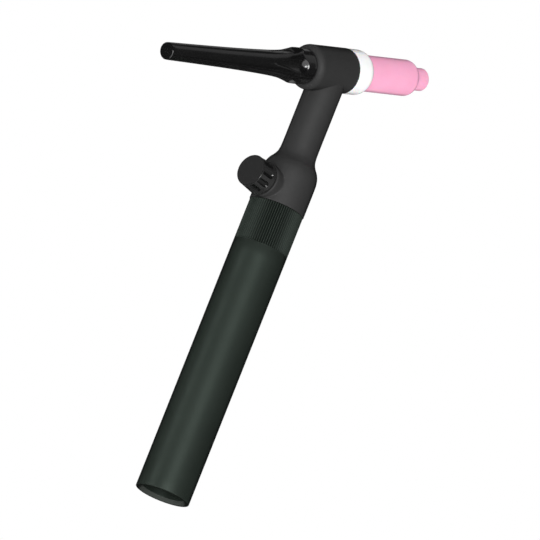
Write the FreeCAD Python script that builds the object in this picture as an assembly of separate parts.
import FreeCAD, Part
import math
import os

# Air-cooled TIG torch with a gas valve in the head, as separate named pieces.
# Units are millimetres. The handle axis is +Z, from the centre of the handle's
# rear opening face (z = 0) up to the head. The nozzle side is +X, the back cap
# and valve knob side is -X, and the XZ plane is the body's plane of symmetry.
# Names ending in _t are distances along the electrode axis from the pivot where
# it crosses the handle axis, positive towards the nozzle. Names ending in _x are
# places along the valve axis; the knob lies at negative x.

Vector = FreeCAD.Vector
os.makedirs("parts", exist_ok=True)

# ---------------------------------------------------------------- dimensions
clearance = 0.05           # radial gap of sliding and threaded fits
# head
pivot_z = 231.9            # height at which the two axes cross
head_tilt = 70.0           # degrees from +Z towards +X
barrel_r = 11.4            # moulded barrel of the head
barrel_front_t = 8.65
barrel_rear_t = -20.8
barrel_rear_round = 3.7
# metal sleeve inside the barrel
sleeve_r = 9.0
sleeve_rear_t = -19.3
ring_seat_r = 7.36         # bore around the back cap's O-ring
# handle
handle_r = 14.0
handle_len = 156.0
handle_bore_r = 10.5
handle_edge_round = 0.45
seat_r = 11.0              # cable sleeve seat at the rear
seat_depth = 30.0
rim_r = 12.3               # inner edge of the flat rear rim
countersink_len = 1.9
band_z = 133.8             # start of the ribbed grip band
rib_count = 72
rib_groove_w = 1.10
rib_groove_d = 0.55
rib_groove_floor_w = 0.10
# moulded body
body_r = 14.3
body_z0 = handle_len + 0.05
neck_r = 9.3
neck_top_z = pivot_z - 1.6
spigot_r = 10.44
spigot_z0 = 118.0
grip_ring_zs = (124.0, 147.0)
grip_ring_centre_r = 9.78
grip_ring_wire_r = 0.69
boss_r_root = 9.0
boss_root_x = -10.0
boss_r_face = 8.6
boss_face_x = -16.7
boss_round = 0.9
# shoulder between the valve section and the neck: (radius, z)
shoulder = [(14.30, 170.0), (14.24, 172.9), (13.86, 175.9), (12.75, 178.8),
            (10.95, 181.4), (9.75, 184.1), (9.37, 187.2), (9.30, 190.5)]
# gas and current path
neck_tube_r, neck_tube_bore_r = 4.5, 3.0
neck_tube_z0, neck_tube_z1 = 172.5, 225.2
tail_tube_r, tail_tube_bore_r = 4.0, 2.6
tail_tube_z0, tail_tube_z1 = 56.0, 157.0
block_r, block_z0, block_z1 = 9.0, 152.0, 176.5
stub_r, stub_x = 6.6, -15.5
connector_r = 6.0
connector_z0 = 38.0
connector_hex_z0 = connector_z0 + 14.0
connector_hex_z1 = connector_hex_z0 + 12.0
connector_hex_across_flats = 16.0
# valve
valve_z = 164.6
stem_r = 2.0
stem_thread_r = 2.5
stem_ring_x = -6.2
valve_bore_r = 2.7
valve_bore_end_x = -9.0
valve_seat_x = -0.2
orifice_r = 1.2
gland_hex_across_flats = 9.0
gland_hex_outer_x = -17.4
# knob and the insert inside it
knob_face_x = -28.1
knob_base_x = -18.0
knob_face_r = 8.15
knob_base_r = 8.85
knob_face_round = 0.55
knob_base_round = 0.5
knob_flutes = 10
knob_cutter_r = 2.0
knob_flute_bottom_r = 7.45
knob_flute_front_x = -27.2
knob_flute_first = 12.25   # degrees, about the valve axis
knob_insert_r = 4.0
knob_insert_groove_r = 3.6
knob_insert_x0, knob_insert_x1 = -26.4, -20.4
knob_insert_grooves = [(-22.6, -22.0), (-25.0, -24.4)]   # x range of each
stem_flat_offset = 1.3     # from the valve axis to the flat
# consumables
cup_r = 9.06
cup_t0, cup_t1 = 21.4, 67.9
cup_tip_r = 5.66
cup_tip_t = 58.455         # where the shoulder meets the narrow tip
cup_shoulder_t = 54.5      # start and centre of the shoulder arc
cup_shoulder_round = 4.0
cup_tip_round = 0.6
cup_inner_r = 6.6
cup_orifice_r = 3.25
cup_thread_r = 6.35        # outside of the collet body's cup thread
gasket_r = 11.3
gasket_bore_r = 6.45
gasket_t0, gasket_t1 = 8.7, 21.35
electrode_r = 1.2
electrode_len = 175.0
electrode_tip_t = 66.0
collet_r = 2.6
collet_jaw_t = 46.45
slit_w = 0.5
slit_t = 25.0
# back cap and the insert inside it
cap_front_t = -20.86
cap_end_r = 4.30
cap_end_t = -124.3
cap_bore_r = 1.9
cap_flutes = 5
cap_flute_r = 5.0
cap_flute_centre_r = 11.18
cap_flute_end_t = -31.8
cap_flute_first = -92.0    # degrees, about the electrode axis
cap_thread_r = 6.0
cap_thread_pitch = 1.5
cap_thread_depth = 0.75
cap_insert_r = 5.2
cap_insert_bore_r = 1.75
cap_insert_rear_t = -31.0
cap_insert_groove_r = 4.8
cap_insert_grooves = [(-24.6, -23.8), (-28.4, -27.6)]    # t range of each
# tapering outside of the cap: (radius, t)
cap_profile = [(9.02, -30.1), (8.78, -31.0), (7.86, -34.8), (7.13, -38.5), (6.69, -42.5),
               (6.36, -47.0), (6.03, -54.0), (5.72, -62.0), (5.32, -75.0),
               (4.99, -90.0), (4.71, -105.0), (4.43, -121.7)]

# share of (start - corner) + (end - corner) that reaches the middle of a quarter round
ROUND_MIDDLE = 1 - math.sqrt(0.5)


# ------------------------------------------------------------------ helpers
def turned(start, *steps):
    """Solid turned about Z from a closed outline of (radius, z) points.

    A step is the next point, ("arc", middle, end), ("round", corner, end)
    for a quarter round, or ("curve", point, ...) for a spline. The last
    point is joined to the start.
    """
    edges = []
    here = start
    for step in steps + (start,):
        kind, *points = step if isinstance(step[0], str) else ("line", step)
        if kind == "round":
            corner, end = points
            middle = [c + ROUND_MIDDLE * (a + b - 2 * c) for a, b, c in zip(here, end, corner)]
            points = [middle, end]
        vectors = [Vector(r, 0, z) for r, z in [here] + points]
        if kind == "line":
            edge = Part.LineSegment(*vectors)
        elif kind == "curve":
            edge = Part.BSplineCurve()
            edge.interpolate(vectors)
        else:
            edge = Part.Arc(*vectors)
        edges.append(edge.toShape())
        here = points[-1]
    face = Part.Face(Part.Wire(Part.__sortEdges__(edges)))
    solid = face.revolve(Vector(0, 0, 0), Vector(0, 0, 1), 360).Solids[0]
    if solid.Volume < 0:
        solid.reverse()
    return solid


def tube(outer_r, inner_r, z0, z1):
    return turned((inner_r, z0), (outer_r, z0), (outer_r, z1), (inner_r, z1))


def cylinder(radius, z0, z1, x=0.0):
    return Part.makeCylinder(radius, z1 - z0, Vector(x, 0, z0), Vector(0, 0, 1))


def torus(centre_r, wire_r, z):
    return Part.makeTorus(centre_r, wire_r, Vector(0, 0, z), Vector(0, 0, 1), 0, 360, 360)


def hexagon(across_flats, first_angle, z, height):
    corner_r = across_flats / math.sqrt(3)
    angles = [math.radians(60 * i + first_angle) for i in range(7)]
    corners = [Vector(corner_r * math.cos(a), corner_r * math.sin(a), z) for a in angles]
    return Part.Face(Part.makePolygon(corners)).extrude(Vector(0, 0, height))


def thread(z0, z1, crest_r, pitch, depth):
    """(radius, z) points of a ridged male thread outline from z0 to z1."""
    points = [(crest_r - depth, z0)]
    z = z0
    turns = int((z1 - z0) / pitch)
    step = (z1 - z0) / turns
    for _ in range(turns):
        points += [(crest_r, z + 0.34 * step), (crest_r, z + 0.66 * step),
                   (crest_r - depth, z + step)]
        z += step
    return points


def flute_cutters(count, first_angle, centre_r, radius, ball_z, length):
    """Cutters parallel to Z that run down from a ball end at ball_z."""
    cutters = []
    for i in range(count):
        ball = Vector(centre_r, 0, ball_z)
        cutter = Part.makeCylinder(radius, length, ball, Vector(0, 0, -1))
        cutter = cutter.fuse(Part.makeSphere(radius, ball))
        cutter.rotate(Vector(0, 0, 0), Vector(0, 0, 1), first_angle + 360.0 / count * i)
        cutters.append(cutter)
    return cutters


def placed(shape, tilt, z):
    shape = shape.copy()
    shape.rotate(Vector(0, 0, 0), Vector(0, 1, 0), tilt)
    shape.translate(Vector(0, 0, z))
    return shape


def to_head(shape):
    """Local +Z becomes the electrode axis through the pivot."""
    return placed(shape, head_tilt, pivot_z)


def to_valve(shape):
    """Local +Z becomes +X at the height of the valve."""
    return placed(shape, 90, valve_z)


def cut(shape, *tools):
    return shape.cut(tools[0] if len(tools) == 1 else Part.makeCompound(list(tools)))


def merged(shape):
    """Join split faces, and unwrap the result when it is a single solid."""
    shape = shape.removeSplitter()
    return shape.Solids[0] if len(shape.Solids) == 1 else shape


def save(name, shape, solids=1):
    if len(shape.Solids) != solids or not shape.isValid() or shape.Volume <= 0:
        raise RuntimeError("%s: %d solids, valid %s" % (name, len(shape.Solids), shape.isValid()))
    shape = shape.Solids[0] if solids == 1 else Part.makeCompound(shape.Solids)
    shape.exportStep("parts/%s.step" % name)


# ------------------------------------------------------------- handle tube
def grip_band():
    """Fine lengthwise ribs, flush with the plain barrel."""
    root_r = handle_r - rib_groove_d
    step = 2 * math.pi / rib_count
    half_mouth = 0.5 * rib_groove_w / handle_r
    half_floor = 0.5 * rib_groove_floor_w / handle_r
    edges = []
    for i in range(rib_count):
        angle = i * step
        groove = angle + step
        polar = [(handle_r, angle + half_mouth), (handle_r, angle + step / 2),
                 (handle_r, groove - half_mouth), (root_r, groove - half_floor),
                 (root_r, groove + half_floor), (handle_r, groove + half_mouth)]
        points = [Vector(r * math.cos(a), r * math.sin(a), band_z) for r, a in polar]
        edges.append(Part.Arc(*points[:3]).toShape())
        for a, b in zip(points[2:], points[3:]):
            edges.append(Part.LineSegment(a, b).toShape())
    band = Part.Face(Part.Wire(edges)).extrude(Vector(0, 0, handle_len - band_z))
    return band.cut(cylinder(handle_bore_r, band_z - 1, handle_len + 1))


def handle_tube():
    plain = turned((handle_r - handle_edge_round, 0),
                   ("round", (handle_r, 0), (handle_r, handle_edge_round)),
                   (handle_r, band_z), (handle_bore_r, band_z),
                   (handle_bore_r, seat_depth), (seat_r, seat_depth),
                   (seat_r, countersink_len), (rim_r, 0))
    return plain.fuse(grip_band())


# ------------------------------------------------- metal core of the torch
def sleeve_envelope():
    """Sleeve without its bores, in the head's local frame."""
    return turned((0, sleeve_rear_t), (sleeve_r - 0.4, sleeve_rear_t),
                  (sleeve_r, sleeve_rear_t + 0.4), (sleeve_r, -8.0), (8.5, -7.5),
                  (8.5, -6.0), (sleeve_r, -5.5), (sleeve_r, barrel_front_t),
                  (0, barrel_front_t))


def head_sleeve():
    """Takes the cap thread at the rear and the collet body at the front."""
    cap_bore = cap_thread_r + 0.06
    bore = turned((0, sleeve_rear_t - 2), (ring_seat_r, sleeve_rear_t - 2),
                  (ring_seat_r, -17.8), (cap_bore, -17.5), (cap_bore, -8.4), (4.6, -7.6),
                  (4.6, 2.0), (5.06, 2.3), (5.06, barrel_front_t - 0.4),
                  (5.5, barrel_front_t + 0.04), (5.5, barrel_front_t + 1),
                  (0, barrel_front_t + 1))
    sleeve = to_head(sleeve_envelope()).cut(to_head(bore))
    return merged(cut(sleeve, cylinder(neck_tube_r, 200, neck_tube_z1),
                      cylinder(neck_tube_bore_r, 200, pivot_z - 2)))


def neck_tube():
    """Gas and current between the valve block and the head."""
    return tube(neck_tube_r, neck_tube_bore_r, neck_tube_z0, neck_tube_z1)


def block_envelope():
    """Valve block and its stub towards the knob, without bores."""
    groove_r = block_r - 0.7
    block = turned((0, block_z0), (block_r - 0.6, block_z0), (block_r, block_z0 + 0.6),
                   (block_r, block_z0 + 5), (groove_r, block_z0 + 5.7),
                   (groove_r, block_z0 + 7.3), (block_r, block_z0 + 8),
                   (block_r, block_z1 - 1), (block_r - 1, block_z1), (0, block_z1))
    return merged(block.fuse(to_valve(cylinder(stub_r, stub_x, 0))))


def valve_block():
    block = cut(block_envelope(), cylinder(neck_tube_r, neck_tube_z0, block_z1 + 1),
                cylinder(tail_tube_r, block_z0 - 1, tail_tube_z1))
    # passages from the tail tube to the orifice, and from the valve to the neck tube
    block = cut(block, cylinder(1.0, 156.5, valve_z + 0.3, x=1.2),
                cylinder(1.1, valve_z, neck_tube_z0 + 0.5, x=-1.75))
    block = block.cut(to_valve(cylinder(orifice_r, valve_seat_x - 0.5, 2.9)))
    block = block.cut(to_valve(cylinder(valve_bore_r, valve_bore_end_x, valve_seat_x)))
    gland_socket = turned((0, valve_bore_end_x), (4.56, valve_bore_end_x), (4.56, -15.1),
                          (5.0, -15.54), (5.0, -16.5), (0, -16.5))
    return merged(block.cut(to_valve(gland_socket)))


def tail_tube():
    """Runs from the valve block down through the spigot to the connector."""
    return tube(tail_tube_r, tail_tube_bore_r, tail_tube_z0, tail_tube_z1)


def cable_connector():
    """Hexagon and male thread for the cable's union nut."""
    z0, z1, z2 = connector_z0, connector_hex_z0, connector_hex_z1
    corner_r = connector_hex_across_flats / math.sqrt(3)
    prism = hexagon(connector_hex_across_flats, 30, z1, z2 - z1)
    prism = prism.common(turned((0, z1), (corner_r - 0.9, z1), (corner_r, z1 + 0.52),
                                (corner_r, z2 - 0.52), (corner_r - 0.9, z2), (0, z2)))
    relief_r = connector_r - 0.7
    spud = turned((0, z0), (connector_r - 0.9, z0),
                  *thread(z0 + 0.6, z1 - 1.6, connector_r, 1.0, 0.5),
                  (relief_r, z1 - 1.5), (relief_r, z1), (0, z1))
    collar = turned((0, z2), (6.2, z2), (6.2, z2 + 3.0), (5.8, z2 + 3.4), (0, z2 + 3.4))
    connector = merged(prism.fuse(spud).fuse(collar))
    cone = turned((0, z0 - 0.01), (4.3, z0 - 0.01), (2.5, z0 + 3.1), (0, z0 + 3.1))
    return merged(cut(connector, cylinder(tail_tube_r, tail_tube_z0, z2 + 5),
                      cylinder(tail_tube_bore_r, z0 - 1, tail_tube_z0 + 1), cone))


def collet_body():
    """Screws into the sleeve; carries the cup thread and four gas ports."""
    flange_t = barrel_front_t + 0.02
    bore_r = collet_r + clearance
    body = turned((3.3, 2.4), *thread(2.5, 8.2, 5.0, 0.95, 0.45),
                  (4.5, flange_t), (8.0, flange_t), (8.0, 10.1), (7.8, 10.3),
                  (5.7, 10.3), (5.7, 21.3), *thread(21.5, 33.0, cup_thread_r, 2.875, 0.75),
                  (5.2, 33.6), (5.2, 46.2), (4.9, 47.4), (3.3, 50.0), (2.8, 50.4),
                  (1.45, 50.4), (1.45, 46.98), (bore_r, 44.0), (bore_r, 41.0), (3.3, 40.3))
    ports = []
    for i in range(4):
        angle = math.radians(45 + 90 * i)
        outward = Vector(math.cos(angle), math.sin(angle), 0)
        ports.append(Part.makeCylinder(0.95, 8, Vector(0, 0, 37.6), outward))
    return merged(to_head(cut(body, *ports)))


# ------------------------------------------------------------------- valve
def valve_gland():
    """Screwed into the stub; guides the threaded stem."""
    hex_x = gland_hex_outer_x
    corner_r = gland_hex_across_flats / math.sqrt(3)
    head = hexagon(gland_hex_across_flats, 0, hex_x, 1.88)
    head = head.common(turned((0, hex_x), (corner_r - 0.5, hex_x), (corner_r, hex_x + 0.3),
                              (corner_r, -15.4), (0, -15.4)))
    gland = turned((0, -15.52), (4.1, -15.52), *thread(-15.1, -9.9, 4.5, 0.74, 0.38),
                   (4.1, -9.82), (0, -9.82))
    gland = gland.fuse(head)
    thread_bore_r = stem_thread_r + clearance
    stem_bore_r = stem_r + clearance
    bore = turned((0, -9.0), (thread_bore_r, -9.0), (thread_bore_r, -13.5),
                  (stem_bore_r, -13.9), (stem_bore_r, -18.5), (0, -18.5))
    return merged(to_valve(cut(gland, bore)))


def gland_washer():
    """Sealing washer squeezed between the gland's nose and the block."""
    return to_valve(tube(4.4, 2.75, -9.80, -9.02))


def valve_stem():
    """Needle tip, O-ring groove, thread, and a flat for the knob."""
    end_x = knob_insert_x0
    stem_thread = reversed(thread(-12.1, -10.2, stem_thread_r, 0.63, 0.32))
    stem = turned((0, 1.1), (0.35, 1.1), (1.17, valve_seat_x), (1.5, -0.75), (1.5, -4.0),
                  (1.6, -4.4), (2.62, -4.4), (2.62, -5.62), (1.62, -5.62), (1.62, -6.78),
                  (2.62, -6.78), (2.62, -8.2), (1.9, -8.5), (1.9, -10.1), *stem_thread,
                  (stem_r, -12.4), (stem_r, end_x + 0.3), (1.7, end_x), (0, end_x))
    flat = Part.makeBox(6, 6, 6.5, Vector(stem_flat_offset, -3, end_x - 0.5))
    return merged(to_valve(stem.cut(flat)))


def valve_stem_o_ring():
    return to_valve(torus(2.15, 0.53, stem_ring_x))


def knob_insert_groove_tools():
    return [tube(knob_insert_r + 0.5, knob_insert_groove_r, x0, x1)
            for x0, x1 in knob_insert_grooves]


def knob_insert():
    """Brass core pressed on the stem's flat inside the knob."""
    x0, x1 = knob_insert_x0, knob_insert_x1
    key = Part.makeBox(2, 5, x1 - x0, Vector(stem_flat_offset, -2.5, x0))
    key = key.common(cylinder(stem_r, x0, x1))
    insert = merged(tube(knob_insert_r, stem_r, x0, x1).fuse(key))
    return merged(to_valve(cut(insert, *knob_insert_groove_tools())))


def valve_knob():
    """Plain face, and ball-ended flutes that stop at a narrow rim behind it."""
    face_x, base_x = knob_face_x, knob_base_x
    hub_x = base_x - 2.5       # floor of the recess in the base
    knob = turned((0, face_x), (knob_face_r - knob_face_round, face_x),
                  ("round", (knob_face_r, face_x), (knob_face_r, face_x + knob_face_round)),
                  (knob_base_r, base_x - knob_base_round),
                  ("round", (knob_base_r, base_x), (knob_base_r - knob_base_round, base_x)),
                  (6.6, base_x), (6.6, base_x - 2.0),
                  ("arc", (6.46, base_x - 2.36), (6.1, hub_x)), (0, hub_x))
    ball_x = base_x - 4.0
    knob = cut(knob, *flute_cutters(knob_flutes, knob_flute_first,
                                    knob_flute_bottom_r + knob_cutter_r, knob_cutter_r,
                                    ball_x, ball_x - knob_flute_front_x))
    insert = cut(cylinder(knob_insert_r, knob_insert_x0, knob_insert_x1),
                 *knob_insert_groove_tools())
    return merged(to_valve(knob.cut(insert)))


# --------------------------------------------- over-moulded insulating body
def body_insulation():
    lower = turned((0, spigot_z0), (spigot_r - 0.8, spigot_z0), (spigot_r, spigot_z0 + 0.8),
                   (spigot_r, body_z0), (body_r - 0.3, body_z0),
                   ("round", (body_r, body_z0), (body_r, body_z0 + 0.3)),
                   shoulder[0], ("curve", *shoulder[1:]),
                   (neck_r, neck_top_z), (0, neck_top_z))
    barrel = turned((0, barrel_front_t), (barrel_r - 0.15, barrel_front_t),
                    (barrel_r, barrel_front_t - 0.15),
                    (barrel_r, barrel_rear_t + barrel_rear_round),
                    ("round", (barrel_r, barrel_rear_t),
                     (barrel_r - barrel_rear_round, barrel_rear_t)),
                    (0, barrel_rear_t))
    boss = turned((0, boss_face_x), (boss_r_face - boss_round, boss_face_x),
                  ("round", (boss_r_face, boss_face_x),
                   (boss_r_face, boss_face_x + boss_round)),
                  (boss_r_root, boss_root_x), (boss_r_root, 0), (0, 0))
    # only the part of the boss above the handle joint belongs to the body
    boss = to_valve(boss).cut(Part.makeBox(60, 60, 20, Vector(-30, -30, body_z0 - 20)))
    shell = merged(lower.fuse(to_head(barrel)).fuse(boss))
    ring_seat = cylinder(ring_seat_r, barrel_rear_t - 1, -17.0)
    shell = shell.cut(to_head(sleeve_envelope().fuse(ring_seat)))
    shell = cut(shell, cylinder(neck_tube_r, 170, 226),
                cylinder(tail_tube_r, spigot_z0 - 1, 160))
    shell = shell.cut(block_envelope())
    shell = shell.cut(to_valve(cylinder(stub_r, -20, -14)))
    groove_r = grip_ring_centre_r - grip_ring_wire_r - 0.01
    for z in grip_ring_zs:
        shell = shell.cut(tube(spigot_r + 1, groove_r, z - 0.95, z + 0.95))
    return merged(shell)


def handle_retaining_rings():
    """Two rubber rings that grip the handle on the spigot."""
    return Part.makeCompound([torus(grip_ring_centre_r, grip_ring_wire_r, z)
                              for z in grip_ring_zs])


# ---------------------------------------------------------------- back cap
def back_cap():
    dimple_t = cap_end_t + 0.15
    edge = 0.5
    cap = turned((0, dimple_t), (2.4, dimple_t),
                 ("arc", (2.75, cap_end_t + 0.1), (3.0, cap_end_t)),
                 (cap_end_r - edge, cap_end_t),
                 ("arc", (cap_end_r - edge * 0.25, cap_end_t + edge * 0.35),
                  (cap_end_r, cap_end_t + 0.6)),
                 ("curve", *reversed(cap_profile)),
                 (cup_r, -29.0), (cup_r, -21.35),
                 ("arc", (cup_r - 0.146, -21.0), (cup_r - 0.5, cap_front_t)),
                 (cap_insert_r, cap_front_t), (cap_insert_r, cap_insert_rear_t),
                 (cap_bore_r, -32.2), (cap_bore_r, -117.5), (0, -118.6))
    cap = cut(cap, *flute_cutters(cap_flutes, cap_flute_first, cap_flute_centre_r,
                                  cap_flute_r, cap_flute_end_t, 40))
    # the moulding fills the grooves of the insert
    ridges = [tube(cap_insert_r, cap_insert_groove_r, t0, t1) for t0, t1 in cap_insert_grooves]
    return merged(to_head(cap.fuse(Part.makeCompound(ridges))))


def cap_insert():
    """Brass core of the cap; its threaded front pushes on the collet."""
    rear_t = cap_insert_rear_t
    insert = turned((cap_insert_bore_r, rear_t), (4.9, rear_t), (cap_insert_r, rear_t + 0.3),
                    (cap_insert_r, cap_front_t), (5.9, cap_front_t), (5.9, -17.6),
                    (cap_thread_r - cap_thread_depth, -17.3),
                    *thread(-17.2, -9.8, cap_thread_r, cap_thread_pitch, cap_thread_depth),
                    (5.1, -9.5), (4.2, -8.6), (3.4, -8.25), (cap_insert_bore_r, -8.25))
    grooves = [tube(6.0, cap_insert_groove_r, t0, t1) for t0, t1 in cap_insert_grooves]
    return merged(to_head(cut(insert, *grooves)))


def back_cap_o_ring():
    return to_head(torus(6.62, 0.69, sleeve_rear_t))


# ------------------------------------------------------------- consumables
def collet():
    """Slit front jaws close on the electrode when the cap pushes it home."""
    bore_r = electrode_r + 0.03
    body = turned((bore_r, -8.2), (3.3, -8.2), (3.4, -8.1), (3.4, -6.8), (collet_r, -6.4),
                  (collet_r, 43.9), (1.62, collet_jaw_t), (bore_r, collet_jaw_t))
    half = slit_w / 2
    slits = [Part.makeBox(slit_w, 8, 22, Vector(-half, -4, slit_t)),
             Part.makeBox(8, slit_w, 22, Vector(-4, -half, slit_t))]
    round_ends = [Part.makeCylinder(half, 8, Vector(0, -4, slit_t), Vector(0, 1, 0)),
                  Part.makeCylinder(half, 8, Vector(-4, 0, slit_t), Vector(1, 0, 0))]
    body = cut(cut(body, *slits), *round_ends)
    body.rotate(Vector(0, 0, 0), Vector(0, 0, 1), 20)
    return merged(to_head(body))


def electrode():
    tip_t = electrode_tip_t
    rear_t = tip_t - electrode_len
    return to_head(turned((0, rear_t), (electrode_r - 0.15, rear_t),
                          (electrode_r, rear_t + 0.15), (electrode_r, tip_t - 4.6),
                          (0.12, tip_t), (0, tip_t)))


def cup_gasket():
    """Insulating ring between the barrel and the cup."""
    t0, t1 = gasket_t0, gasket_t1
    return to_head(turned((8.06, t0), (gasket_r - 0.2, t0),
                          ("round", (gasket_r, t0), (gasket_r, t0 + 0.2)),
                          (gasket_r, 17.2),
                          ("curve", (11.05, 18.6), (10.3, 20.05), (9.45, 21.1)),
                          (9.1, t1), (gasket_bore_r, t1), (gasket_bore_r, 10.4),
                          (8.06, 10.4)))


def nozzle():
    """Alumina cup with a stepped tip."""
    t0, t1 = cup_t0, cup_t1
    reach = cup_shoulder_round * math.sqrt(0.5)
    shoulder_middle = (cup_r - cup_shoulder_round + reach, cup_shoulder_t + reach)
    mouth_r = cup_thread_r + 0.45
    thread_bore_r = cup_thread_r + clearance
    return to_head(turned(
        (mouth_r, t0), (cup_r - 0.25, t0),
        ("round", (cup_r, t0), (cup_r, t0 + 0.25)),
        (cup_r, cup_shoulder_t),
        ("arc", shoulder_middle, (cup_tip_r, cup_tip_t)),
        (cup_tip_r, t1 - cup_tip_round),
        ("round", (cup_tip_r, t1), (cup_tip_r - cup_tip_round, t1)),
        (cup_orifice_r + 0.3, t1),
        ("round", (cup_orifice_r, t1), (cup_orifice_r, t1 - 0.3)),
        (cup_orifice_r, 60.0), (cup_inner_r, 51.5), (cup_inner_r, 34.5),
        (thread_bore_r, 34.2), (thread_bore_r, t0 + 0.4)))


# each file is named after the function that builds its piece
for piece in (handle_tube, head_sleeve, neck_tube, valve_block, tail_tube, cable_connector,
              collet_body, valve_gland, gland_washer, valve_stem, valve_stem_o_ring,
              knob_insert, valve_knob, body_insulation, back_cap, cap_insert,
              back_cap_o_ring, collet, electrode, cup_gasket, nozzle):
    save(piece.__name__, piece())
save("handle_retaining_rings", handle_retaining_rings(), solids=2)
